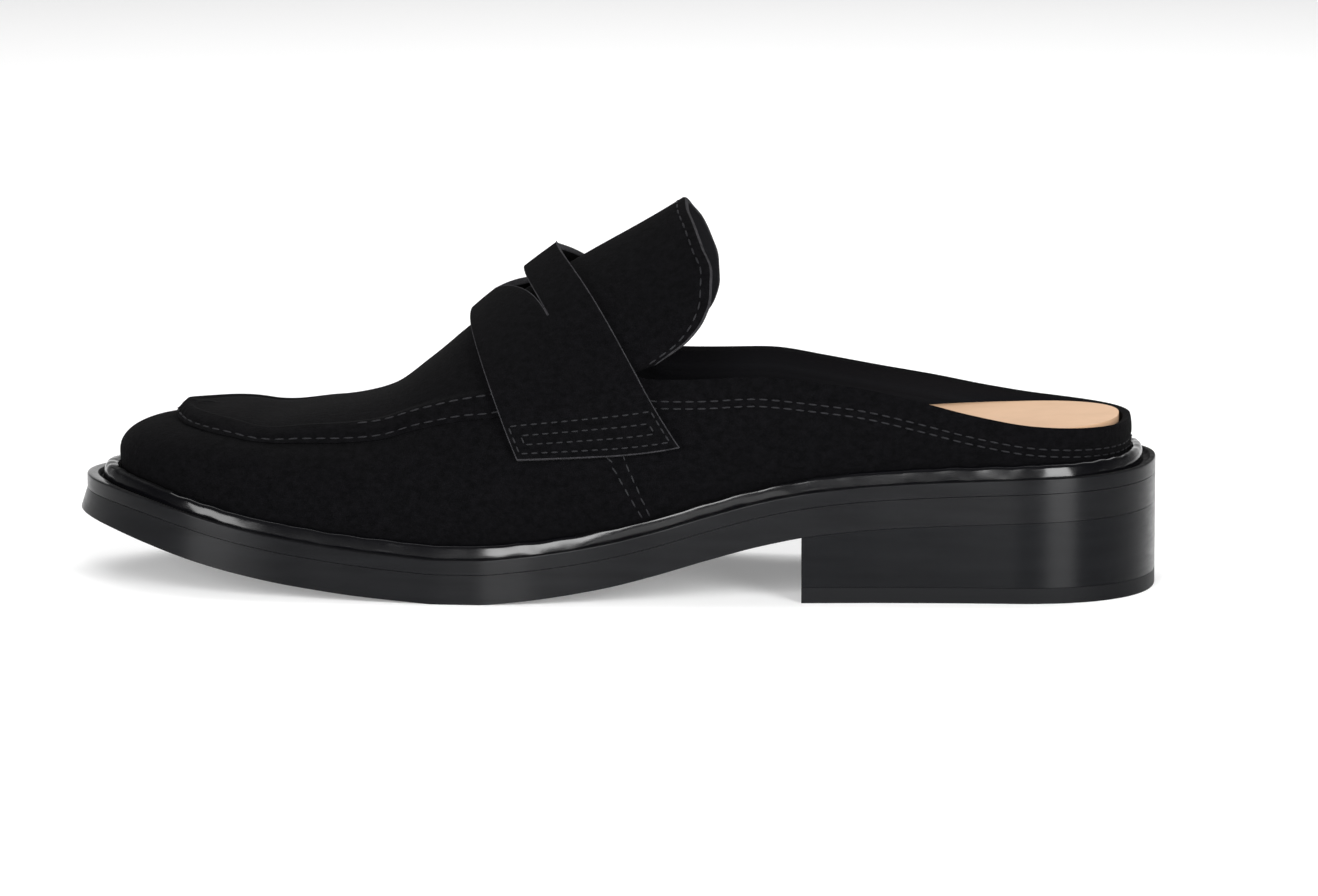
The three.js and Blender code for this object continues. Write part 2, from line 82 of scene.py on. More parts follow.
# topline behind the throat, from the back's height to the quarter's height
toplineSections = {
    "at": [0.54, 0.59, 0.64, 0.69, 0.74, 0.79, 0.84, 0.89, 0.94, 0.97, 1],
    "lateral": [1.3, 1.12, 0.975, 0.79, 0.63, 0.44, 0.25, 0.11, 0.04, 0.015, 0],
    "medial": [1.31, 1.12, 0.95, 0.72, 0.53, 0.38, 0.23, 0.11, 0.04, 0.015, 0],
}

# throat edge under the strap, from the ridge down to the topline
throatSections = {
    "along": [0, 0.18, 0.47, 0.74, 1],
    "down": [0, 0.36, 0.71, 0.91, 1],
}

# foot surface of the insole, from the forefoot's rise to the heel's rise
footSections = {
    "at": [0, 0.3, 0.42, 0.52, 0.6, 0.7, 0.78, 0.85, 1],
    "share": [0, 0.02, 0.09, 0.26, 0.5, 0.8, 0.96, 1, 1],
}


def mix(a, b, t):
    return a + (b - a) * t


def ease(t):
    c = np.clip(t, 0, 1)
    return c * c * (3 - 2 * c)


def hump(distance, width):
    return np.exp(-(distance / width) ** 2)


def sideOf(signed):
    return np.where(signed < 0, -1, 1)


def readTable(table, key, column, at):  # smooth between the rows, with no overshoot
    x = np.array(table[key], float)
    y = np.array(table[column], float)
    step = np.diff(x)
    slope = np.diff(y) / step
    before, after = slope[:-1], slope[1:]
    weightBefore = 2 * step[1:] + step[:-1]
    weightAfter = step[1:] + 2 * step[:-1]
    turns = before * after <= 0
    byBefore = weightBefore / np.where(turns, 1, before)
    byAfter = weightAfter / np.where(turns, 1, after)
    inner = np.where(turns, 0, (weightBefore + weightAfter) / np.where(turns, 1, byBefore + byAfter))
    tangent = np.concatenate([slope[:1], inner, slope[-1:]])
    at = np.clip(at, x[0], x[-1])
    i = np.clip(np.searchsorted(x, at) - 1, 0, len(step) - 1)
    h = step[i]
    t = (at - x[i]) / h
    return ((1 + 2 * t) * (1 - t) ** 2 * y[i] + t * (1 - t) ** 2 * h * tangent[i]
            + t * t * (3 - 2 * t) * y[i + 1] + t * t * (t - 1) * h * tangent[i + 1])


def soleAt(column, s):
    return readTable(soleSections, "at", column, s / last["length"])


def ridgeAt(column, s):
    return readTable(ridgeSections, "at", column, s / last["length"])


def underside(s):
    return last["toeSpring"] * soleAt("spring", s) + last["heelHeight"] * soleAt("seat", s)


def outsoleTop(s):
    return underside(s) + last["outsole"] * soleAt("thick", s)


def rimTop(s):
    return outsoleTop(s) + last["gap"] + last["weltThickness"]


def footTop(s):
    share = readTable(footSections, "at", "share", s / last["length"])
    return rimTop(s) + mix(last["insoleRise"], last["heelPadRise"], share)


def inward(inset):  # insets at the sides, the toe and the heel
    return inset, last["weltSetback"] + inset * last["toeSpread"], inset


def outline(q, side, insets):  # q runs from the toe, 0, to the back, 1, on one side
    sideInset, toeInset, heelInset = insets
    toeAngle = np.clip(q / last["toeShare"], 0, 1) * math.pi / 2
    heelAngle = np.clip((1 - q) / (1 - last["heelShare"]), 0, 1) * math.pi / 2
    toePower = 2 / last["toeSquareness"]
    heelPower = 2 / last["heelSquareness"]
    toeS = last["toeRound"] - (last["toeRound"] - toeInset) * np.cos(toeAngle) ** toePower
    heelStart = last["length"] - last["heelRound"]
    heelS = heelStart + (last["heelRound"] - heelInset) * np.cos(heelAngle) ** heelPower
    t = (q - last["toeShare"]) / (last["heelShare"] - last["toeShare"])
    inToe = q < last["toeShare"]
    inHeel = q > last["heelShare"]
    s = np.where(inToe, toeS, np.where(inHeel, heelS, mix(last["toeRound"], heelStart, t)))
    turn = np.where(inToe, np.sin(toeAngle) ** toePower, np.where(inHeel, np.sin(heelAngle) ** heelPower, 1))
    half = last["ballWidth"] * np.where(side < 0, soleAt("lateral", s), soleAt("medial", s)) - sideInset
    return s, last["ballWidth"] * soleAt("centre", s) + side * half * turn


def shareAt(s):
    heelStart = last["length"] - last["heelRound"]
    return mix(last["toeShare"], last["heelShare"], (s - last["toeRound"]) / (heelStart - last["toeRound"]))


upperInset = last["rim"] + last["groove"] + last["bead"] + last["gap"]
throatShare = shareAt(last["throatStart"])


def lastPoint(q, v, side, out):  # v runs up from the welt, 0, to the ridge, 1
    baseSide, baseToe, baseHeel = inward(upperInset)
    s, y = outline(q, side, (baseSide - out, baseToe - out, baseHeel - out))
    toePull = np.clip(1 - (s - baseToe) / last["toeFan"], 0, None) ** 2
    heelPull = np.clip((s - (last["length"] - baseHeel - last["heelFan"])) / last["heelFan"], 0, 1) ** 2
    ridgeS = s + last["toeSlope"] * toePull - last["heelLean"] * heelPull
    ridgeY = last["ballWidth"] * ridgeAt("side", ridgeS)
    low = rimTop(s)
    belly = low + last["bellyRise"]
    rise = last["toeHeight"] * ridgeAt("toe", ridgeS) + last["instepHeight"] * ridgeAt("instep", ridgeS)
    crest = rimTop(ridgeS) + rise + out
    power = 2 / ridgeAt("full", s)
    t = np.clip(v / last["bellyShare"], 0, 1)
    run = np.maximum(np.hypot(s - ridgeS, y - ridgeY), 1)
    angle = np.clip((v - last["bellyShare"]) / (1 - last["bellyShare"]), 0, 1) * math.pi / 2
    under = v < last["bellyShare"]
    reach = np.where(under, 1 - last["bellyTuck"] * (1 - t) ** 2 / run, np.clip(np.cos(angle), 0, 1) ** power)
    reach = np.where(v >= 1, 0, reach)
    z = np.where(under, mix(low, belly, t), belly + (crest - belly) * np.sin(angle) ** power)
    return np.stack([mix(ridgeS, s, reach), mix(ridgeY, y, reach), z], -1)


def shareUp(q, side, z):  # share up the last where its surface is z high
    low = np.zeros_like(q)
    high = np.ones_like(q)
    for step in range(24):
        middle = (low + high) / 2
        under = lastPoint(q, middle, side, 0)[..., 2] < z
        low = np.where(under, middle, low)
        high = np.where(under, high, middle)
    return (low + high) / 2


def topEdge(q, side):  # ridge over the vamp, then the throat, then the topline
    s, y = outline(q, side, inward(upperInset))
    start = toplineSections["at"][0] * last["length"]
    at = np.maximum(s, start) / last["length"]
    lateral = readTable(toplineSections, "at", "lateral", at)
    medial = readTable(toplineSections, "at", "medial", at)
    share = np.where(side < 0, lateral, medial)
    line = shareUp(q, side, rimTop(s) + mix(last["backHeight"], last["quarterHeight"], share))
    along = (s - last["throatStart"]) / (start - last["throatStart"])
    throat = mix(1, line, readTable(throatSections, "along", "down", along))
    return np.where(q <= throatShare, 1, np.where(s >= start, line, throat))


widest = [last["ballWidth"] * max(side * c + w for c, w in zip(soleSections["centre"], soleSections[name]))
          for side, name in ((-1, "lateral"), (1, "medial"))]
sideShift = (widest[0] - widest[1]) / 2


def toScene(points):  # millimetres on the last to metres in the frame
    return (points + np.array([-last["length"] / 2, sideShift, 0])) / 1000


def makeActive(piece):
    bpy.ops.object.select_all(action="DESELECT")
    piece.select_set(True)
    bpy.context.view_layer.objects.active = piece


def gridPiece(name, across, along, shape):  # a grid whose square is laid over the shoe by shape(u, v)
    bpy.ops.mesh.primitive_grid_add(x_subdivisions=across, y_subdivisions=along, size=1)
    piece = bpy.context.object
    piece.name = name
    piece.data.name = name
    corners = np.empty(len(piece.data.vertices) * 3)
    piece.data.vertices.foreach_get("co", corners)
    corners = corners.reshape(-1, 3)
    order = np.lexsort((corners[:, 1].round(6), corners[:, 0].round(6)))
    rows = (across + 1, along + 1)
    u = (corners[order, 0] + 0.5).reshape(rows)
    v = (corners[order, 1] + 0.5).reshape(rows)
    points = shape(u.round(6), v.round(6))
    corners[order] = toScene(points).reshape(-1, 3)
    piece.data.vertices.foreach_set("co", corners.ravel())
    piece.data.update()
    return piece


def weld(piece):  # closes the seams and poles of a shaped grid
    distance = 0.00001
    makeActive(piece)
    bpy.ops.object.mode_set(mode="EDIT")
    bpy.ops.mesh.select_all(action="SELECT")
    bpy.ops.mesh.remove_doubles(threshold=distance)
    bpy.ops.mesh.dissolve_degenerate(threshold=distance / 10)
    bpy.ops.mesh.select_all(action="SELECT")
    bpy.ops.mesh.normals_make_consistent(inside=False)
    bpy.ops.object.mode_set(mode="OBJECT")


def applyModifier(piece, kind, **settings):
    makeActive(piece)
    modifier = piece.modifiers.new(kind.title(), kind)
    for key, value in settings.items():
        setattr(modifier, key, value)
    bpy.ops.object.modifier_apply(modifier=modifier.name)


def smooth(piece, degrees=40):
    makeActive(piece)
    bpy.ops.object.shade_smooth_by_angle(angle=math.radians(degrees))


def dress(piece, slot, *materials):  # finish and body of a piece
    piece.data.materials.clear()
    for material in materials:
        piece.data.materials.append(material)
    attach(piece, "root")


def surfaceNormals(points):  # unit normals of a grid of points, turned away from the last's middle
    middle = points.copy()
    middle[..., 1] = last["ballWidth"] * ridgeAt("side", points[..., 0])
    middle[..., 2] = rimTop(points[..., 0])
    alongU = np.gradient(points, axis=0)
    alongV = np.gradient(points, axis=1)
    normal = np.cross(alongU, alongV)
    size = np.linalg.norm(normal, axis=-1, keepdims=True)
    normal = normal / np.maximum(size, 1e-9)
    away = np.sign(np.sum(normal * (points - middle), axis=-1, keepdims=True))
    return normal * np.where(away == 0, 1, away)


def runLength(points):  # distance along each column from its first row
    steps = np.linalg.norm(np.diff(points, axis=1), axis=-1)
    return np.concatenate([np.zeros((len(points), 1)), np.cumsum(steps, axis=1)], axis=1)


def pick(grid, i, j):  # value of a grid between its columns and rows
    i0 = np.clip(np.floor(i).astype(int), 0, grid.shape[0] - 2)
    j0 = np.clip(np.floor(j).astype(int), 0, grid.shape[1] - 2)
    a = (i - i0)[:, None]
    b = (j - j0)[:, None]
    return mix(mix(grid[i0, j0], grid[i0 + 1, j0], a), mix(grid[i0, j0 + 1], grid[i0 + 1, j0 + 1], a), b)


def shaderOf(material):
    return material.node_tree.nodes["Principled BSDF"]


def newMaterial(name, colour, roughness, specular=0.5):
    material = bpy.data.materials.new(name)
    material.use_nodes = True
    shader = shaderOf(material)
    shader.inputs["Base Color"].default_value = (*colour, 1)
    shader.inputs["Roughness"].default_value = roughness
    shader.inputs["Specular IOR Level"].default_value = specular
    return material


def addNode(material, kind, **settings):
    node = material.node_tree.nodes.new(kind)
    for key, value in settings.items():
        setattr(node, key, value)
    return node


def noise(material, scale, detail=3, roughness=0.5, stretch=(1, 1, 1)):  # scale in patches a metre
    place = addNode(material, "ShaderNodeTexCoord")
    mapping = addNode(material, "ShaderNodeMapping")
    mapping.inputs["Scale"].default_value = stretch
    texture = addNode(material, "ShaderNodeTexNoise")
    texture.inputs["Scale"].default_value = scale
    texture.inputs["Detail"].default_value = detail
    texture.inputs["Roughness"].default_value = roughness
    join = material.node_tree.links.new
    join(place.outputs["Object"], mapping.inputs["Vector"])
    join(mapping.outputs["Vector"], texture.inputs["Vector"])
    return texture.outputs["Fac"]


def ramp(material, factor, low, high, start=0.35, end=0.65):  # colour between two tones
    node = addNode(material, "ShaderNodeValToRGB")
    node.color_ramp.elements[0].position = start
    node.color_ramp.elements[0].color = (*low, 1)
    node.color_ramp.elements[1].position = end
    node.color_ramp.elements[1].color = (*high, 1)
    material.node_tree.links.new(factor, node.inputs["Fac"])
    return node.outputs["Color"]


def spread(material, factor, low, high, start=0.3, end=0.7):  # number between two values
    node = addNode(material, "ShaderNodeMapRange")
    for key, value in (("From Min", start), ("From Max", end), ("To Min", low), ("To Max", high)):
        node.inputs[key].default_value = value
    material.node_tree.links.new(factor, node.inputs["Value"])
    return node.outputs["Result"]


def bump(material, *layers):  # layers are (height, strength, depth in metres), the finest last
    shader = shaderOf(material)
    relief = None
    for height, strength, depth in layers:
        node = addNode(material, "ShaderNodeBump")
        node.inputs["Strength"].default_value = strength
        node.inputs["Distance"].default_value = depth
        material.node_tree.links.new(height, node.inputs["Height"])
        if relief:
            material.node_tree.links.new(relief, node.inputs["Normal"])
        relief = node.outputs["Normal"]
    material.node_tree.links.new(relief, shader.inputs["Normal"])


def paint(material, socket, value):
    material.node_tree.links.new(value, shaderOf(material).inputs[socket])


def suedeFinish(name, dark, light, sheen):
    material = newMaterial(name, dark, 1, 0.04)
    shader = shaderOf(material)
    shader.inputs["Sheen Weight"].default_value = sheen
    shader.inputs["Sheen Roughness"].default_value = 0.6
    brushed = noise(material, 480, 5, 0.75, (1, 1, 1.4))  # patches where the nap lies another way
    paint(material, "Base Color", ramp(material, brushed, dark, light, 0.36, 0.66))
    pile = noise(material, 2600, 2, 0.7)
    tufts = noise(material, 800, 3, 0.65)
    bump(material, (brushed, 0.35, 0.0004), (tufts, 0.6, 0.0003), (pile, 0.6, 0.00018))
    return material


blackSuede = suedeFinish("blackSuede", (0.0009, 0.0009, 0.0011), (0.0025, 0.0024, 0.0029), 0.004)
# lighter suede for the strap's cut edges and the tongue's free ends: its lighter tone is a painted highlight along
# those edges
edgeHighlightSuede = suedeFinish("paintedEdgeHighlight", (0.014, 0.014, 0.0155), (0.034, 0.033, 0.036), 0.015)

blackLining = newMaterial("blackLining", (0.0027, 0.0028, 0.0037), 0.8, 0.08)
bump(blackLining, (noise(blackLining, 1500, 2), 0.25, 0.0001))

tongueLining = newMaterial("tongueLining", (0.0072, 0.0074, 0.0088), 0.85, 0.08)
bump(tongueLining, (noise(tongueLining, 1200, 3, 0.7), 0.6, 0.0002))

thread = newMaterial("blackThread", (0.0078, 0.0078, 0.0092), 0.65, 0.16)
bump(thread, (noise(thread, 3500, 1), 0.4, 0.0001))


def edgeFinish(name, dark, light, specular):  # smooth sole edges, faintly streaked along the layers
    material = newMaterial(name, dark, 0.36, specular)
    streaks = noise(material, 60, 4, 0.6, (0.5, 0.5, 6))
    paint(material, "Base Color", ramp(material, streaks, dark, light))
    paint(material, "Roughness", spread(material, noise(material, 140, 3, 0.6, (1, 1, 4)), 0.3, 0.4))
    bump(material, (streaks, 0.06, 0.0003), (noise(material, 1800, 2), 0.06, 0.00006))
    shader = shaderOf(material)
    shader.inputs["Anisotropic"].default_value = 0.85  # trimmed lengthwise, so highlights spread up and down
    shader.inputs["Anisotropic Rotation"].default_value = 0.25
    along = addNode(material, "ShaderNodeTangent", direction_type="RADIAL", axis="Z")
    paint(material, "Tangent", along.outputs["Tangent"])
    return material


soleEdge = edgeFinish("blackSoleEdge", (0.0022, 0.0023, 0.0029), (0.0042, 0.0044, 0.0052), 0.16)
heelEdge = edgeFinish("blackHeelEdge", (0.002, 0.0022, 0.0029), (0.0034, 0.0037, 0.0045), 0.13)

weltLeather = newMaterial("blackWelt", (0.002, 0.002, 0.0024), 0.6, 0.06)
weltGrain = noise(weltLeather, 420, 3, 0.6)
paint(weltLeather, "Roughness", spread(weltLeather, weltGrain, 0.5, 0.7))
bump(weltLeather, (weltGrain, 0.2, 0.0002))

glossyBead = newMaterial("glossyBead", (0.002, 0.002, 0.0026), 0.2, 0.3)
shaderOf(glossyBead).inputs["Coat Weight"].default_value = 0.1
shaderOf(glossyBead).inputs["Coat Roughness"].default_value = 0.12
beadWaves = noise(glossyBead, 120, 2, 0.5)
paint(glossyBead, "Roughness", spread(glossyBead, beadWaves, 0.12, 0.2))
bump(glossyBead, (beadWaves, 0.2, 0.0003))

liftRubber = newMaterial("liftRubber", (0.0036, 0.0038, 0.0045), 0.5, 0.11)
bump(liftRubber, (noise(liftRubber, 900, 3), 0.15, 0.0001))

treadRubber = newMaterial("treadRubber", (0.012, 0.012, 0.013), 0.7, 0.35)
bump(treadRubber, (noise(treadRubber, 700, 3), 0.3, 0.0002))

peachLining = newMaterial("peachLining", (0.56, 0.36, 0.227), 0.62, 0.3)
footWear = noise(peachLining, 35, 4, 0.6)
paint(peachLining, "Base Color", ramp(peachLining, footWear, (0.525, 0.335, 0.207), (0.6, 0.392, 0.247)))
bump(peachLining, (noise(peachLining, 900, 3), 0.12, 0.0001), (noise(peachLining, 2600, 2), 0.1, 0.00006))
print("finishes ready")


def faceShares(piece):  # where each face lies on its grid's square
    mesh = piece.data
    uv = np.empty(len(mesh.loops) * 2)
    mesh.uv_layers[0].data.foreach_get("uv", uv)
    start = np.empty(len(mesh.polygons), int)
    count = np.empty(len(mesh.polygons), int)
    mesh.polygons.foreach_get("loop_start", start)
    mesh.polygons.foreach_get("loop_total", count)
    return np.add.reduceat(uv.reshape(-1, 2), start, axis=0) / count[:, None]


def selectFaces(piece, chosen):
    makeActive(piece)
    for part in (piece.data.vertices, piece.data.edges):
        part.foreach_set("select", np.zeros(len(part), bool))
    piece.data.polygons.foreach_set("select", chosen)
    bpy.ops.object.mode_set(mode="EDIT")
    bpy.ops.mesh.select_mode(type="FACE")


def setFinish(piece, chosen, index):
    for face, picked in zip(piece.data.polygons, chosen):
        if picked:
            face.material_index = index


sole = {
    "columns": 180, "roundSegments": 3, "sharpAngle": 50, "smoothAngle": 35, "facesDown": -0.8,
    "edgeRound": 0.16, "heelRound": 0.3, "seam": 0.08, "breast": shareAt(last["length"] - last["heelLength"]),
}
noInsets = (0, 0, 0)


def platePiece(name, start, lowInsets, highInsets, low, high, bevel):  # flat across, with its edges rounded
    def shape(u, v):
        q = mix(start, 1, u)
        corner = (v * 4).round() % 4
        side = np.where(corner < 2, -1, 1)
        lowS, lowY = outline(q, side, lowInsets)
        highS, highY = outline(q, side, highInsets)
        isLow = (corner == 0) | (corner == 3)
        s = np.where(isLow, lowS, highS)
        return np.stack([s, np.where(isLow, lowY, highY), np.where(isLow, low(s), high(s))], -1)
    piece = gridPiece(name, sole["columns"], 4, shape)
    weld(piece)
    if start > 0:  # closes the straight front
        bpy.ops.object.mode_set(mode="EDIT")
        bpy.ops.mesh.select_mode(type="EDGE")
        bpy.ops.mesh.select_all(action="DESELECT")
        bpy.ops.mesh.select_non_manifold()
        bpy.ops.mesh.edge_face_add()
        bpy.ops.mesh.select_all(action="SELECT")
        bpy.ops.mesh.normals_make_consistent(inside=False)
        bpy.ops.object.mode_set(mode="OBJECT")
    applyModifier(piece, "BEVEL", width=bevel / 1000, segments=sole["roundSegments"], limit_method="ANGLE",
                  angle_limit=math.radians(sole["sharpAngle"]))
    smooth(piece, sole["smoothAngle"])
    applyModifier(piece, "WEIGHTED_NORMAL", keep_sharp=True)
    return piece


outsole = platePiece("outsole_band", 0, noInsets, inward(0), underside, outsoleTop, sole["edgeRound"])
dress(outsole, "sole", soleEdge, treadRubber)
setFinish(outsole, [face.normal.z < sole["facesDown"] for face in outsole.data.polygons], 1)
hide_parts("outsole")

heelBlock = platePiece("heel_stack", sole["breast"], noInsets, noInsets,
                       lambda s: last["lift"] + sole["seam"] + 0 * s, lambda s: underside(s) - sole["seam"],
                       sole["heelRound"] / 2)
dress(heelBlock, "heel", heelEdge)
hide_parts("heel_block")

topLift = platePiece("heel_lift", sole["breast"], noInsets, noInsets,
                     lambda s: 0 * s, lambda s: last["lift"] + 0 * s, sole["heelRound"])
dress(topLift, "lift", liftRubber)
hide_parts("top_lift")

footBed = {"round": 1.4, "clear": 0.3}
bedInsets = inward(upperInset + last["wall"] + last["bellyTuck"] + footBed["clear"])
insole = platePiece("foot_bed", 0, bedInsets, bedInsets,
                    lambda s: outsoleTop(s) + last["gap"], footTop, footBed["round"])
dress(insole, "lining", peachLining)
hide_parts("insole")
print("sole and foot bed ready")

# welt: a flat rim, a dark groove and a tall bead, as insets from the rim's edge and heights over its top
welt = {
    "inset": [0, 0, 0.12, 0.35, 0.8, 1.3, 1.45, 1.6, 2, 2.6, 3.05, 3.1,
              3.15, 3.3, 3.52, 3.8, 4.25, 5.05, 5.6, 5.9, 5.9, 5.9, 3, 0.3],
    "up": [-3.68, -0.4, -0.1, 0, 0.02, 0, -0.1, -0.5, -1, -1.15, -0.9, -0.3,
           0.5, 1.3, 2.05, 2.6, 2.92, 3.05, 2.9, 2.45, 0, -3.4, -3.6, -3.68],
    "rimFrom": 2, "grooveFrom": 5.5, "beadFrom": 10.5, "crestFrom": 15.5, "beadTo": 19.5,
    "columns": 420, "smoothAngle": 50, "waver": 0.11, "grooveWaver": 0.055, "grooveRows": [5, 12],
    "uprightFrom": 0.46, "uprightTo": 0.72, "uprightOver": 0.07,
    "toeRim": 2, "toeRimStep": 0.2, "toeRimRows": [5, 8], "toeShare": 0.07, "toeOver": 0.05, "toeGloss": 0.1,
    "mattCrests": [[0.055, 0.17], [0.49, 0.67]],
}
# the bead stands more upright along the waist
uprightBead = {"inset": [3.12, 3.14, 3.18, 3.26, 3.45, 4.1], "up": [0.7, 1.5, 2.2, 2.65, 2.9, 3.05], "first": 12}


def weltShape(u, v):
    signed = 2 * u - 1
    q = np.abs(signed)
    count = len(welt["inset"])
    k = (v * count).round().astype(int) % count
    inset = np.array(welt["inset"])[k]
    up = np.array(welt["up"])[k]
    onBead = (k >= welt["beadFrom"]) & (k <= welt["beadTo"])
    along = outline(q, sideOf(signed), inward(0))[0] / last["length"]
    upright = (ease((along - welt["uprightFrom"]) / welt["uprightOver"])
               * ease((welt["uprightTo"] - along) / welt["uprightOver"]))
    for i, (flatInset, flatUp) in enumerate(zip(uprightBead["inset"], uprightBead["up"])):
        here = (k == uprightBead["first"] + i) * upright
        inset = mix(inset, flatInset, here)
        up = mix(up, flatUp, here)
    first, final = welt["toeRimRows"]  # the flat rim is wider round the tip of the toe
    fromTip = ease((q - welt["toeShare"]) / welt["toeOver"])
    wide = mix(welt["toeRim"] + welt["toeRimStep"] * (k - first), inset, fromTip)
    inset = np.where((k >= first) & (k <= final), wide, inset)
    waver = np.sin(signed * 151) * np.sin(signed * 67 + 1) + 0.6 * np.sin(signed * 263 + 2)
    up = up + np.where(onBead & (up > 1), welt["waver"] * waver, 0)
    inGroove = (k > welt["grooveRows"][0]) & (k < welt["grooveRows"][1])
    inset = inset + np.where(inGroove, welt["grooveWaver"] * waver, 0)
    s, y = outline(q, sideOf(signed), inward(inset))
    return np.stack([s, y, outsoleTop(s) + last["gap"] + last["weltThickness"] + up], -1)


weltStrip = gridPiece("welt_strip", welt["columns"], len(welt["inset"]), weltShape)
weld(weltStrip)
smooth(weltStrip, welt["smoothAngle"])
applyModifier(weltStrip, "WEIGHTED_NORMAL", keep_sharp=True)
dress(weltStrip, "welt", soleEdge, weltLeather, glossyBead)
place = faceShares(weltStrip)[:, 1] * len(welt["inset"])
fromToe = np.abs(2 * faceShares(weltStrip)[:, 0] - 1)
setFinish(weltStrip, (place > welt["rimFrom"]) & (place < welt["beadFrom"]), 1)
setFinish(weltStrip, (place >= welt["beadFrom"]) & (place <= welt["beadTo"]), 2)
onCrest = (place > welt["crestFrom"]) & (place <= welt["beadTo"])
for start, end in welt["mattCrests"]:
    setFinish(weltStrip, onCrest & (fromToe > start) & (fromToe < end), 1)
onRim = (place > welt["rimFrom"]) & (place < welt["grooveFrom"])
setFinish(weltStrip, onRim & (fromToe < welt["toeGloss"]), 2)
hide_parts("welt")
print("welt ready")


# vamp and low quarters in one wall, with a soft band along its top edge
upper = {
    "columns": 440, "rows": 84, "margin": 0.05, "wall": 1.9,
    "band": 6.4, "bandSwell": 0.35, "bandFullness": 0.8, "bandFade": 12,
    "stitchRows": [5.6, 7.4], "stitchDip": 0.22, "dipWidth": 0.55,
    "seamAt": [0.552, 0.527], "seamTop": 30, "seamStep": 0.35,
    "lapWidth": 1.2, "lapTop": 36, "lapEnd": 60, "lapFade": 50,
    "unevenness": 0.12, "evenBelow": 6, "closedBelow": 2, "smoothAngle": 60,
}


def upperGrid(u, v):
    signed = 2 * u - 1
    q = np.abs(signed)
    side = sideOf(signed)
    top = topEdge(q, side)
    t = (v - upper["margin"]) / (1 - upper["margin"])
    points = lastPoint(q, top * np.clip(t, 0, 1), side, 0)
    low = outsoleTop(points[..., 0]) + last["gap"]
    points[..., 2] = np.where(t < 0, mix(low, points[..., 2], np.clip(v / upper["margin"], 0, 1)), points[..., 2])
    return points


def upperShape(u, v):
    points = upperGrid(u, v)
    normal = surfaceNormals(points)
    s = points[..., 0]
    fromTop = runLength(points[:, ::-1])[:, ::-1]
    opened = ease((s - last["throatStart"]) / upper["bandFade"])
    inBand = np.clip(fromTop / upper["band"], 0, 1)
    out = upper["bandSwell"] * np.sin(inBand * math.pi) ** upper["bandFullness"] * opened * (fromTop < upper["band"])
    for row in upper["stitchRows"]:  # each stitched row sinks into the nap
        out = out - upper["stitchDip"] * hump(fromTop - row, upper["dipWidth"]) * opened
    z = points[..., 2] - rimTop(s)
    seamS = last["length"] * mix(*upper["seamAt"], np.clip(z / upper["seamTop"], 0, 1))
    ahead = seamS - s  # the vamp laps over the quarter
    lap = ease(ahead / upper["lapWidth"]) * ease((upper["lapEnd"] - ahead) / upper["lapFade"]) * (z < upper["lapTop"])
    out = out + upper["seamStep"] * lap
    wave = (np.sin(points[..., 0] / 9.1 + 0.7) * np.sin(points[..., 2] / 5.3 + points[..., 1] / 14)
            + 0.6 * np.sin(points[..., 0] / 17.3 + points[..., 1] / 6.7 + 2))
    out = out + upper["unevenness"] * wave * ease(z / upper["evenBelow"])
    return points + normal * (out * ease(z / upper["closedBelow"]))[..., None]


vamp = gridPiece("upper_shell", upper["columns"], upper["rows"], upperShape)
weld(vamp)
dress(vamp, "suede", blackSuede, blackLining)
applyModifier(vamp, "SOLIDIFY", thickness=upper["wall"] / 1000, offset=-1, use_rim=True, material_offset=1,
              material_offset_rim=0, use_even_offset=True, thickness_clamp=0)
smooth(vamp, upper["smoothAngle"])
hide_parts("upper")
print("upper ready")


# apron raised over the vamp, with a moccasin seam round it, running on as the tongue
# lower edge of the apron as a share of the way up the last, and the tongue's free end along the length
apronEdge = {
    "at": [0.03, 0.06, 0.1, 0.14, 0.19, 0.24, 0.28, 0.33, 0.37, 0.41, 0.48, 0.6],
    "up": [0.85, 0.785, 0.68, 0.61, 0.586, 0.57, 0.556, 0.518, 0.48, 0.454, 0.452, 0.46],
}
tongueEnd = {
    "up": [0.46, 0.48, 0.505, 0.545, 0.6, 0.68, 0.78, 0.88, 1],
    "lateral": [0.546, 0.577, 0.59, 0.596, 0.596, 0.587, 0.577, 0.569, 0.566],
    "medial": [0.546, 0.572, 0.582, 0.587, 0.587, 0.582, 0.575, 0.568, 0.566],
}
apron = {
    "columns": 420, "under": 14, "edge": 28, "top": 32, "endColumns": 8, "samples": 160, "crowding": 1.3,
    "vampPart": 0.62, "edgeReach": 10.5, "edgeShare": 0.6,
    "clear": 0.45, "level": 1.6, "crest": 2.7, "crestWidth": 2.2, "crestLead": 0.6, "riseFullness": 0.8,
    "flatFrom": 100, "flatOver": 22, "tongueCrest": 0.1,
    "stitchAt": 1.3, "stitchSink": 0.45, "stitchWidth": 0.55,
    "pucker": 0.12, "puckerPitch": 3.1, "puckerWidth": 1.2, "puckerFade": 16,
    "tipFrom": 0.09, "tipOver": 0.16, "tipReach": 0.5, "tipLift": 0.5, "tipSettle": 0.6, "tipLevel": 0.5,
    "dip": 0.6, "dipAt": 50, "dipWidth": 10, "uprightTo": 0.2, "uprightRows": 64,
    "endRound": 0.72, "endMiddle": 0.4, "endHighlight": 0.55, "smoothAngle": 60,
}
overrun = apron["endColumns"] / apron["columns"]  # share of the columns that roll over the tongue's free ends
# distance of the seam's crest from the apron's edge, along the length
crestSections = {
    "at": [0.02, 0.05, 0.1, 0.15, 0.2, 0.25, 0.29, 0.33, 0.37, 0.41, 0.5],
    "far": [3.2, 4, 6.2, 6.6, 6, 6, 6, 5.6, 5.8, 6.6, 7],
}


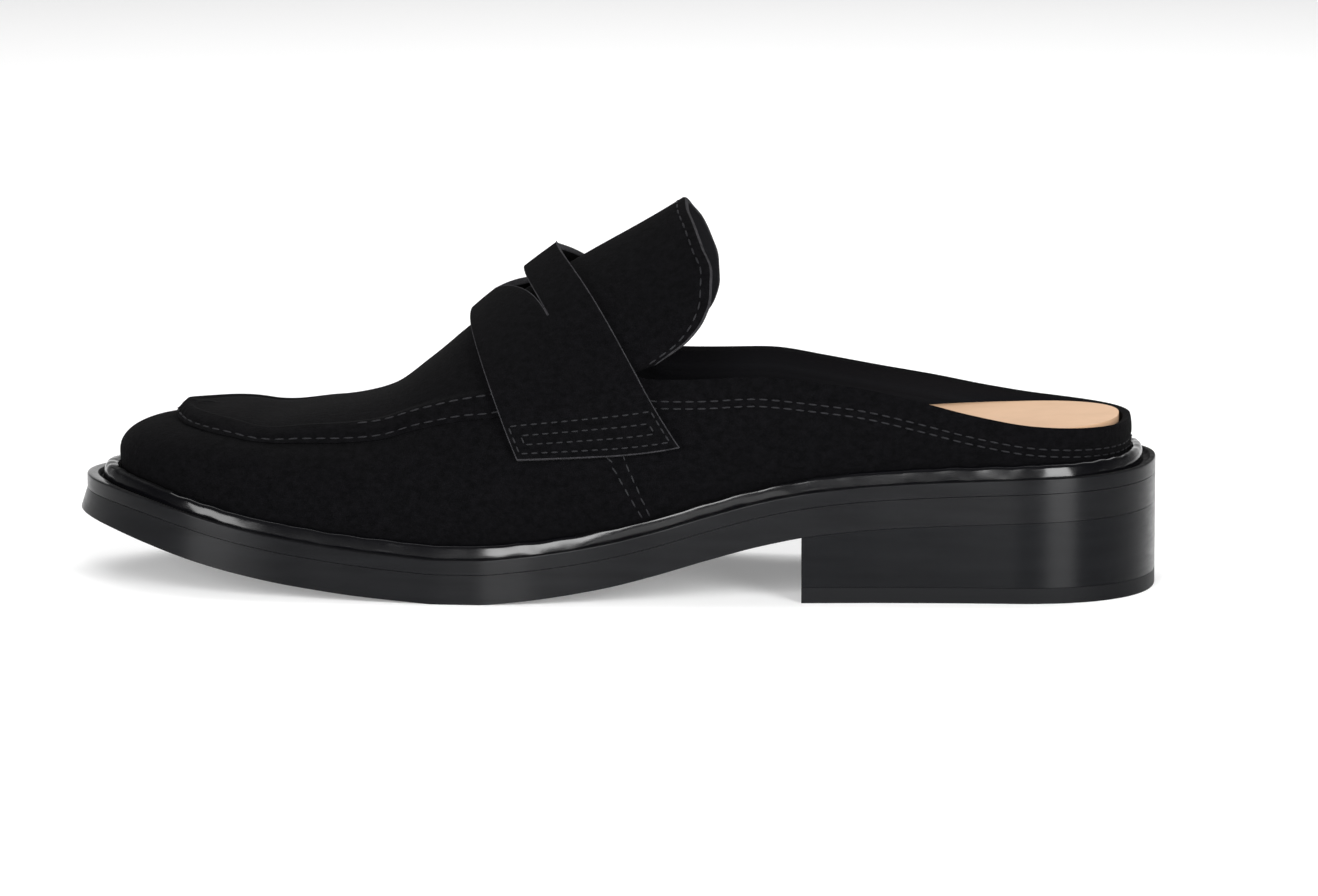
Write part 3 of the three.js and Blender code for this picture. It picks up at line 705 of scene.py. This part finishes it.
def apronColumn(signed):  # place along the outline, lowest share up, and share of the way along the tongue
    k = np.abs(signed)
    onVamp = k <= apron["vampPart"]
    q = np.where(onVamp, k / apron["vampPart"] * throatShare, throatShare)
    t = np.clip((k - apron["vampPart"]) / (1 - apron["vampPart"]), 0, 1)
    s, y = outline(q, sideOf(signed), inward(upperInset))
    edge = readTable(apronEdge, "at", "up", s / last["length"])
    low = np.where(onVamp, edge, mix(edge, tongueEnd["up"][0], t))
    return q, low, t, onVamp


def apronBase(signed, v):  # point of the last under the apron
    q, low, t, onVamp = apronColumn(signed)
    lateral = readTable(tongueEnd, "up", "lateral", v)
    medial = readTable(tongueEnd, "up", "medial", v)
    end = np.where(signed < 0, lateral, medial)
    start = last["throatStart"] / last["length"]
    q = np.where(onVamp, q, shareAt(mix(start, end, t) * last["length"]))
    return lastPoint(q, v, sideOf(signed), 0)


def seamHeight(distance, s, tip):  # height of the apron's top over the last, by the distance from its edge
    fade = ease((s - apron["flatFrom"]) / apron["flatOver"])  # the seam's ridge flattens out under the strap
    dip = apron["dip"] * hump(s - apron["dipAt"], apron["dipWidth"])  # the top sags a little behind the toe
    level = apron["level"] + apron["clear"] - dip
    crest = mix(apron["crest"] - dip + apron["tipLift"] * tip, level + apron["tongueCrest"], fade)
    crestAt = readTable(crestSections, "at", "far", s / last["length"])
    low = apron["clear"] + 0.05
    reach = crestAt * mix(1, apron["tipReach"], tip)  # the ridge is steeper and higher at the toe
    rise = np.sin(np.clip(distance / reach, 0, 1) * math.pi / 2) ** apron["riseFullness"]
    level = mix(level, crest, apron["tipLevel"] * tip)
    settleAt = crestAt * mix(1, apron["tipSettle"], tip) - apron["crestLead"]
    settle = ease((distance - settleAt) / apron["crestWidth"])
    sink = apron["stitchSink"] * hump(distance - apron["stitchAt"], apron["stitchWidth"]) * (1 - fade)
    return mix(low + (crest - low) * rise, level, settle) - sink


def apronShape(u, v):
    signed = (2 * u[:, :1] - 1) * (1 + overrun)
    roll = np.clip((np.abs(signed) - 1) / overrun, 0, 1)
    signed = np.clip(signed, -1, 1)
    low = apronColumn(signed)[1]
    ups = low + (1 - low) * np.linspace(0, 1, apron["samples"])[None, :] ** apron["crowding"]
    base = apronBase(np.repeat(signed, apron["samples"], 1), ups)
    normal = surfaceNormals(base)
    rolled = int(np.sum(roll[:, 0] > 0) / 2) - 1  # the columns that roll over share one place
    normal[:rolled] = normal[rolled]
    normal[len(u) - rolled:] = normal[len(u) - rolled - 1]
    half = len(u) // 2
    ridgeS, ridgeZ = base[half:, -1, 0], base[half:, -1, 2]
    slope = (np.interp(base[:, -1, 0] + 2, ridgeS, ridgeZ) - np.interp(base[:, -1, 0], ridgeS, ridgeZ)) / 2
    upright = np.stack([-slope, 0 * slope, 0 * slope + 1], -1)
    atTip = np.abs(signed[:, 0]) < apron["uprightTo"]  # columns crowd together where the ridge starts
    start = -apron["uprightRows"]
    lean = ease(np.linspace(0, 1, apron["uprightRows"]))[None, :, None]
    normal[atTip, start:] = mix(normal[atTip, start][:, None], upright[atTip][:, None], lean)
    normal[atTip] /= np.linalg.norm(normal[atTip], axis=-1, keepdims=True)
    normal[:, -1] = normal[:, -2] * [1, 0, 1]  # both halves meet on the ridge
    normal[:, -1] /= np.linalg.norm(normal[:, -1], axis=-1, keepdims=True)
    far = runLength(base)
    k = np.arange(apronRows + 1)  # rows run up underneath, round the edge, and over the seam to the ridge
    underK = np.clip(1 - k / apron["under"], 0, 1)
    edgeK = np.clip((k - apron["under"]) / apron["edge"], 0, 1)
    topK = np.clip((k - apron["under"] - apron["edge"]) / apron["top"], 0, 1)
    middle = apron["clear"] + apron["endMiddle"] * apron["level"]
    points = np.zeros((*u.shape, 3))
    for i, whole in enumerate(far[:, -1]):
        edgeEnd = min(apron["edgeReach"], whole * apron["edgeShare"])
        distance = np.where(k <= apron["under"], underK * whole, edgeK * edgeEnd + topK * (whole - edgeEnd))
        place = np.stack([np.interp(distance, far[i], base[i, :, c]) for c in range(3)], -1)
        out = np.stack([np.interp(distance, far[i], normal[i, :, c]) for c in range(3)], -1)
        s = place[:, 0]
        top = seamHeight(distance, s, 1 - ease((abs(signed[i, 0]) - apron["tipFrom"]) / apron["tipOver"]))
        tuck = hump(distance - apron["stitchAt"], apron["puckerWidth"])
        tuck = tuck * (1 - ease((s - apron["flatFrom"]) / apron["puckerFade"]))
        top = top + apron["pucker"] * np.cos(2 * math.pi * rimRun[i] / apron["puckerPitch"]) * tuck
        level = np.where(k <= apron["under"], apron["clear"], top)
        level = mix(middle, level, math.sqrt(max(1 - roll[i, 0] ** 2, 0)))
        points[i] = place + out * level[:, None]
        points[i, :, 0] += apron["endRound"] * roll[i, 0]
    return points


def seamRun():  # distance along the apron's edge, for its tucks
    signed = np.clip((2 * np.arange(apron["columns"] + 1) / apron["columns"] - 1) * (1 + overrun), -1, 1)
    base = apronBase(signed, apronColumn(signed)[1])
    return runLength(base[None])[0]


rimRun = seamRun()
apronRows = apron["under"] + apron["edge"] + apron["top"]
tongue = gridPiece("apron_with_tongue", apron["columns"], apronRows, apronShape)
weld(tongue)
smooth(tongue, apron["smoothAngle"])
dress(tongue, "suede", blackSuede, tongueLining, edgeHighlightSuede)
shares = faceShares(tongue)
# the outermost rolled columns at the tongue's free ends take the lighter edge suede, a painted highlight along the
# end
highlightedEnd = np.abs(2 * shares[:, 0] - 1) * (1 + overrun) > 1 + apron["endHighlight"] * overrun
setFinish(tongue, shares[:, 1] * apronRows < apron["under"], 1)
setFinish(tongue, highlightedEnd, 2)
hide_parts("apron_tongue")
print("apron and tongue ready")


# saddle strap with its slot, its edges as shares of the length
strap = {
    "halfColumns": 110, "lobeRows": 9, "thickness": 1.9,
    "edgeRound": 0.28, "roundSegments": 2, "sharpAngle": 55, "smoothAngle": 50,
    "topFront": 0.364, "topRear": 0.444, "endFront": 0.426, "endRear": 0.574,
    "frontUp": 0.316, "rearUp": 0.256, "sweepFront": 1.65, "sweepRear": 1.35,
    "climbFrom": 0.36, "climbTo": 0.45, "apronHeight": 2.25,
    "archFrom": 0.5, "archFront": 2.2, "archRear": 5, "archPeak": 2.5,
    "slotFront": 0.29, "slotRear": 0.61, "slotTip": 0.63, "tipUp": 0.69, "slotCurve": 2.3,
}
strapRows = 2 * strap["lobeRows"] + 1  # the row between the two lobes is cut out as the slot


def strapPoint(side, t, w, out):  # t runs up from its end, 0, to the top, 1, and w from its front edge to its rear
    up = mix(mix(strap["frontUp"], strap["rearUp"], w), 1, t)
    high = mix(strap["topFront"], strap["topRear"], w)
    low = mix(strap["endFront"], strap["endRear"], w)
    s = last["length"] * mix(high, low, (1 - t) ** mix(strap["sweepFront"], strap["sweepRear"], w))
    climb = ease((up - strap["climbFrom"]) / (strap["climbTo"] - strap["climbFrom"]))
    arch = np.clip((up - strap["archFrom"]) / (1 - strap["archFrom"]), 0, 1) ** strap["archPeak"]
    clear = apron["clear"] + strap["apronHeight"] * climb + mix(strap["archFront"], strap["archRear"], w) * arch
    return lastPoint(shareAt(s), up, side, clear + out)


def strapLobes(t):  # shares of the width at the slot's front and rear edges
    up = mix(strap["frontUp"], 1, t)
    opened = np.clip((up - strap["tipUp"]) / (1 - strap["tipUp"]), 0, 1)
    front = mix(strap["slotTip"], strap["slotFront"], opened ** strap["slotCurve"])
    return front, mix(strap["slotTip"], strap["slotRear"], opened)


def strapShape(u, v):
    signed = 2 * u - 1
    t = 1 - np.abs(signed)
    k = v * strapRows
    front, rear = strapLobes(t)
    w = np.where(k.round() <= strap["lobeRows"], front * k / strap["lobeRows"],
                 mix(rear, 1, (k - strap["lobeRows"] - 1) / strap["lobeRows"]))
    return strapPoint(sideOf(signed), t, w, strap["thickness"])


saddle = gridPiece("strap_over_instep", 2 * strap["halfColumns"], strapRows, strapShape)
rowOf = faceShares(saddle)[:, 1] * strapRows
selectFaces(saddle, (rowOf > strap["lobeRows"]) & (rowOf < strap["lobeRows"] + 1))
bpy.ops.mesh.delete(type="FACE")
bpy.ops.object.mode_set(mode="OBJECT")
weld(saddle)
# the strap's cut rim and its rounded edges take the lighter edge suede, a painted highlight along the edges
dress(saddle, "suede", blackSuede, edgeHighlightSuede)
applyModifier(saddle, "SOLIDIFY", thickness=strap["thickness"] / 1000, offset=-1, use_rim=True, material_offset=0,
              material_offset_rim=1, use_even_offset=True)
applyModifier(saddle, "BEVEL", width=strap["edgeRound"] / 1000, segments=strap["roundSegments"], limit_method="ANGLE",
              angle_limit=math.radians(strap["sharpAngle"]), material=1, use_clamp_overlap=False)
smooth(saddle, strap["smoothAngle"])
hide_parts("saddle_strap")
print("strap ready")


# one thread stitch, copied along rows that lie on the finished surfaces
stitches = {
    "length": 2.2, "pitch": 3.05, "width": 0.5, "height": 0.36, "lift": 0.05, "fullness": 0.7, "steps": 40,
    "toplineFrom": 0.53, "sideSeams": [[0.546, 0.509], [0.5515, 0.5215]],
    "seamFrom": 3, "seamTo": 24, "seamScale": 20,
    "apronPitch": 3.55, "apronLength": 2.6, "apronOut": 0.1, "apronTo": 128, "secondFrom": 73, "secondIn": 0.2,
    "tongueInset": 3.4, "tongueFromRow": 4, "boxLength": 1.7, "boxPitch": 2.5, "smoothAngle": 80,
}


def stitchModel():
    bpy.ops.mesh.primitive_uv_sphere_add(segments=8, ring_count=5, radius=0.5)
    model = bpy.context.object
    corners = np.array([vertex.co[:] for vertex in model.data.vertices])
    faces = [list(face.vertices) for face in model.data.polygons]
    bpy.data.objects.remove(model)
    # the sphere's poles lie along the thread, and its ends are fuller than a ball's
    corners = corners[:, [2, 0, 1]] * 2
    corners[:, 0] = np.sign(corners[:, 0]) * np.abs(corners[:, 0]) ** stitches["fullness"]
    return corners / 2, faces


def spacedOut(points, pitch):  # even places along a path, as fractions of its rows
    run = runLength(points[None])[0]
    count = max(int(round(run[-1] / pitch)), 1)
    at = (np.arange(count) + 0.5) / count * run[-1]
    return np.interp(at, run, np.arange(len(points)))


def stitchRow(points, normals, length=stitches["length"], pitch=stitches["pitch"]):  # one row along a path
    places = spacedOut(points, pitch)
    rows = np.arange(len(points))
    at = np.stack([np.interp(places, rows, points[:, c]) for c in range(3)], -1)
    up = np.stack([np.interp(places, rows, normals[:, c]) for c in range(3)], -1)
    ahead = np.gradient(points, axis=0)
    ahead = np.stack([np.interp(places, rows, ahead[:, c]) for c in range(3)], -1)
    up /= np.linalg.norm(up, axis=-1, keepdims=True)
    ahead -= up * np.sum(ahead * up, axis=-1, keepdims=True)
    ahead /= np.linalg.norm(ahead, axis=-1, keepdims=True)
    across = np.cross(up, ahead)
    local = stitchCorners * [length, stitches["width"], stitches["height"]]
    made = (at + up * stitches["lift"])[:, None] + (local[:, :1] * ahead[:, None] + local[:, 1:2] * across[:, None]
                                                    + local[:, 2:] * up[:, None])
    faces = [[i + n * len(local) for i in face] for n in range(len(at)) for face in stitchFaces]
    return made.reshape(-1, 3), faces


def stitchPiece(name, rows):  # rows are points, normals, and a length and pitch where these are special
    corners, faces = [], []
    for row in rows:
        rowCorners, rowFaces = stitchRow(*row)
        start = sum(len(part) for part in corners)
        corners.append(rowCorners)
        faces += [[i + start for i in face] for face in rowFaces]
    mesh = bpy.data.meshes.new(name)
    mesh.from_pydata(toScene(np.concatenate(corners)).tolist(), [], faces)
    piece = bpy.data.objects.new(name, mesh)
    bpy.context.collection.objects.link(piece)
    smooth(piece, stitches["smoothAngle"])
    dress(piece, "suede", thread)
    return piece


stitchCorners, stitchFaces = stitchModel()


def gridOf(shape, across, along):  # the points and normals that a piece's grid has
    u, v = np.meshgrid(np.linspace(0, 1, across + 1), np.linspace(0, 1, along + 1), indexing="ij")
    points = shape(u, v)
    return points, surfaceNormals(points)


upperPoints, upperNormals = gridOf(upperShape, upper["columns"], upper["rows"])
fromTop = runLength(upperPoints[:, ::-1])[:, ::-1]
toplineRows = []
for half in (slice(0, upper["columns"] // 2), slice(upper["columns"] // 2, None)):  # one side, then the other
    columns = np.arange(upper["columns"] + 1)[half]
    columns = columns[upperPoints[columns, -1, 0] > stitches["toplineFrom"] * last["length"]]
    for depth in upper["stitchRows"]:
        j = np.array([np.interp(-depth, -fromTop[i], np.arange(upper["rows"] + 1)) for i in columns])
        i = columns.astype(float)
        toplineRows.append((pick(upperPoints, i, j), pick(upperNormals, i, j)))
stitchPiece("topline_stitches", toplineRows)

seamRows = []
heights = upperPoints[..., 2] - rimTop(upperPoints[..., 0])
rise = np.linspace(stitches["seamFrom"], stitches["seamTo"], stitches["steps"])
for side in (-1, 1):
    for low, high in stitches["sideSeams"]:
        q = shareAt(last["length"] * mix(low, high, rise / stitches["seamScale"]))
        i = (side * q + 1) / 2 * upper["columns"]
        near = i.round().astype(int)
        j = np.array([np.interp(h, heights[n], np.arange(upper["rows"] + 1)) for h, n in zip(rise, near)])
        seamRows.append((pick(upperPoints, i, j), pick(upperNormals, i, j)))
stitchPiece("side_seam_stitches", seamRows)

apronPoints, apronNormals = gridOf(apronShape, apron["columns"], apronRows)
edgeStart = apron["under"]
fromEdge = runLength(apronPoints[:, edgeStart:])
columns = np.arange(2, apron["columns"] - 1)
onSeam = columns[apronPoints[columns, edgeStart, 0] < stitches["apronTo"]]


def apronRow(columns, distance):
    rows = np.arange(fromEdge.shape[1])
    j = np.array([edgeStart + np.interp(d, fromEdge[i], rows) for i, d in zip(columns, distance)])
    i = columns.astype(float)
    return pick(apronPoints, i, j), pick(apronNormals, i, j), stitches["apronLength"], stitches["apronPitch"]


seamStitches = [apronRow(onSeam, np.full(len(onSeam), apron["stitchAt"] + stitches["apronOut"]))]
for half in (onSeam[onSeam < apron["columns"] // 2], onSeam[onSeam > apron["columns"] // 2]):
    half = half[apronPoints[half, edgeStart, 0] > stitches["secondFrom"]]
    crest = readTable(crestSections, "at", "far", apronPoints[half, edgeStart, 0] / last["length"])
    seamStitches.append(apronRow(half, crest - stitches["secondIn"]))
stitchPiece("apron_seam_stitches", seamStitches)

# boxes on each end of the strap, as shares of its width and millimetres up from its lower edge
strapBoxes = [
    [[0.035, 2], [0.965, 2], [0.965, 10.4], [0.035, 10.4], [0.035, 2]],
    [[0.09, 4.7], [0.91, 4.7], [0.91, 7.5], [0.09, 7.5], [0.09, 4.7]],
]


def strapAt(side, w, up):  # point on the strap, up millimetres over its lower edge
    return strapPoint(side, up / strapBoxRise, w, strap["thickness"])


ends = np.array([0.1, 0.11])
strapBoxRise = np.linalg.norm(np.diff(strapPoint(-1, ends, 0.5 + 0 * ends, strap["thickness"]), axis=0)) / 0.01
boxRows = []
for side in (-1, 1):
    for box in strapBoxes:
        for start, end in zip(np.array(box[:-1]), np.array(box[1:])):
            path = mix(start, end, np.linspace(0, 1, stitches["steps"])[:, None])
            w, up = path[:, 0], path[:, 1]
            points = strapAt(side, w, up)
            normals = np.cross(strapAt(side, w + 0.01, up) - points, strapAt(side, w, up + 0.2) - points)
            normals *= np.sign(normals[:, 1:2]) * side
            boxRows.append((points, normals, stitches["boxLength"], stitches["boxPitch"]))
stitchPiece("strap_end_stitches", boxRows)

# row round the tongue's free end, in from its edge
tongueRows = []
j = np.arange(edgeStart + stitches["tongueFromRow"], apronRows + 1)
for way in (-1, 1):
    grid, gridNormals = apronPoints[::way], apronNormals[::way]
    fromEnd = runLength(grid[::-1].swapaxes(0, 1))
    inset = np.array([np.interp(stitches["tongueInset"], fromEnd[row], np.arange(len(grid))) for row in j])
    place = (apron["columns"] - inset, j.astype(float))
    tongueRows.append((pick(grid, *place), pick(gridNormals, *place)))
stitchPiece("tongue_stitches", tongueRows)
print("stitches ready")


# floor, surroundings, lights and camera
bpy.ops.mesh.primitive_plane_add(size=14, location=(0, 0, 0))
floor = bpy.context.object
floor.name = "floor"
floorPaint = newMaterial("paleFloor", (0.85, 0.85, 0.85), 1, 0)
floorShader = shaderOf(floorPaint)
floorShader.inputs["Emission Color"].default_value = (1, 1, 1, 1)
floorShader.inputs["Emission Strength"].default_value = 0.22  # keeps it white between the lights
floor.data.materials.append(floorPaint)

world = bpy.data.worlds.new("softWhite")
bpy.context.scene.world = world
world.use_nodes = True
backdrop = world.node_tree.nodes["Background"]
direction = addNode(world, "ShaderNodeTexCoord")
parts = addNode(world, "ShaderNodeSeparateXYZ")
sideways = addNode(world, "ShaderNodeMath", operation="ABSOLUTE")
join = world.node_tree.links.new
join(direction.outputs["Generated"], parts.inputs["Vector"])
join(parts.outputs["X"], sideways.inputs[0])
strength = None
# white behind the shoe, dimmer overhead, at both sides and in front
for part, start, end, low in (
    (parts.outputs["Z"], 0.1, 0.4, 0.35),
    (sideways.outputs["Value"], 0.35, 0.7, 0.25),
    (parts.outputs["Y"], 0.3, -0.2, 0.4),
):
    dimming = spread(world, part, 1, low, start, end)
    if strength:
        product = addNode(world, "ShaderNodeMath", operation="MULTIPLY")
        join(strength, product.inputs[0])
        join(dimming, product.inputs[1])
        dimming = product.outputs["Value"]
    strength = dimming
join(strength, backdrop.inputs["Strength"])
backdrop.inputs["Color"].default_value = (1, 1, 1, 1)

softboxes = {
    "overhead": {"at": (0, 0.72, 1.05), "aim": (0, 0.72, 0), "size": (1.6, 1.2), "power": 15},
    "toe_side": {"at": (-0.62, -0.66, 0.24), "aim": (-0.09, -0.02, 0.02), "size": (0.36, 0.44), "power": 5},
    "front_strip": {"at": (0.005, -0.62, 0.27), "aim": (-0.03, -0.03, 0.02), "size": (0.12, 0.5), "power": 2.9},
    "heel_side": {"at": (0.5, -0.62, 0.25), "aim": (0.1, 0, 0.02), "size": (0.32, 0.48), "power": 7},
}
for name, box in softboxes.items():
    towards = Vector(box["aim"]) - Vector(box["at"])
    bpy.ops.object.light_add(type="AREA", location=box["at"], rotation=towards.to_track_quat("-Z", "Y").to_euler())
    light = bpy.context.object
    light.name = name
    light.data.shape = "RECTANGLE"
    light.data.size, light.data.size_y = box["size"]
    light.data.energy = box["power"]

view = {
    "azimuth": 6, "elevation": 9, "distance": 2, "aim": (0.0108, 0.00317, 0.032),
    "pixelsAcross": 1318, "focalPixels": 7920, "sensor": 36, "farthest": 50,
}
azimuth, elevation = math.radians(view["azimuth"]), math.radians(view["elevation"])
level = math.cos(elevation)
back = Vector((math.sin(azimuth) * level, -math.cos(azimuth) * level, math.sin(elevation)))
bpy.ops.object.camera_add(location=Vector(view["aim"]) + back * view["distance"],
                          rotation=back.to_track_quat("Z", "Y").to_euler())
camera = bpy.context.object
camera.data.sensor_width = view["sensor"]
camera.data.sensor_fit = "HORIZONTAL"
camera.data.lens = view["sensor"] * view["focalPixels"] / view["pixelsAcross"]
camera.data.clip_end = view["farthest"]
bpy.context.scene.camera = camera
bpy.context.scene.view_settings.view_transform = "Standard"
print("stage ready")
